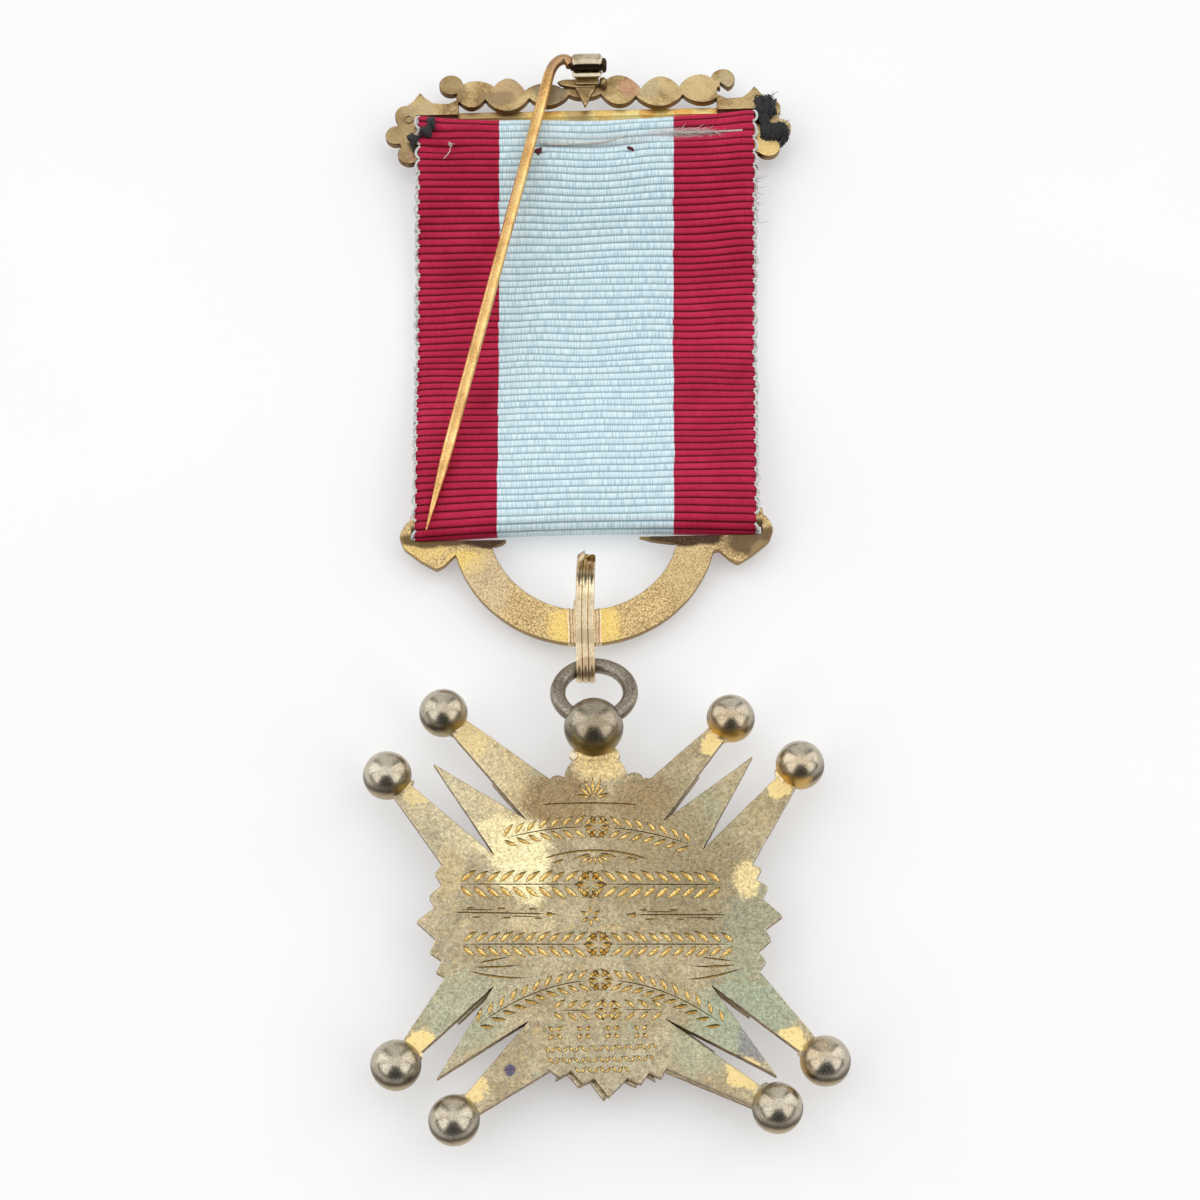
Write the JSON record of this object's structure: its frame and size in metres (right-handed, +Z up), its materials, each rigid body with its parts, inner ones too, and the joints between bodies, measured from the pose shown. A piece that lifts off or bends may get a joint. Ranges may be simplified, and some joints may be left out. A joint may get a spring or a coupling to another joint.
{
  "type": "masonic jewel",
  "caption": "Breast jewel lying face down: scrolled brooch bar with hinged pin, doubled corded ribbon, half-ring suspender, reeded hook, jump ring and balled star pendant.",
  "frame": {"origin": "middle of the rectangle that the lying jewel covers, on the table", "axes": "+Z up from the table, out of the jewel's back; +Y from the star to the brooch bar; +X to the right, seen from the back"},
  "size_m": [0.042, 0.1112, 0.0076],
  "materials": {
    "bar_gilt": "worn gilt with brown stains",
    "pin_brass": "drawn wire, rubbed bright",
    "ribbon": "corded silk, crimson with a pale blue middle",
    "suspender_gilt": "gilt, speckled brown",
    "strap_gilt": "reeded pale gilt",
    "tarnished_silver": "tarnished silver",
    "star_gilt": "silver gilt, mottled tarnish",
    "thread": "sewing thread"
  },
  "bodies": {
    "jewel": {"brooch_bar": "bar_gilt", "ribbon": "ribbon", "suspender": "suspender_gilt", "hook": "strap_gilt", "jump_ring": "tarnished_silver", "star": "star_gilt"},
    "pin": {"pin": "pin_brass"}
  },
  "joints": [
    {"name": "pin_hinge", "type": "hinge", "parent": "jewel", "child": "pin", "pos_m": [0.00068, 0.05423, 0.0044], "axis": [-1, 0, 0], "range_deg": [0, 150]}
  ]
}
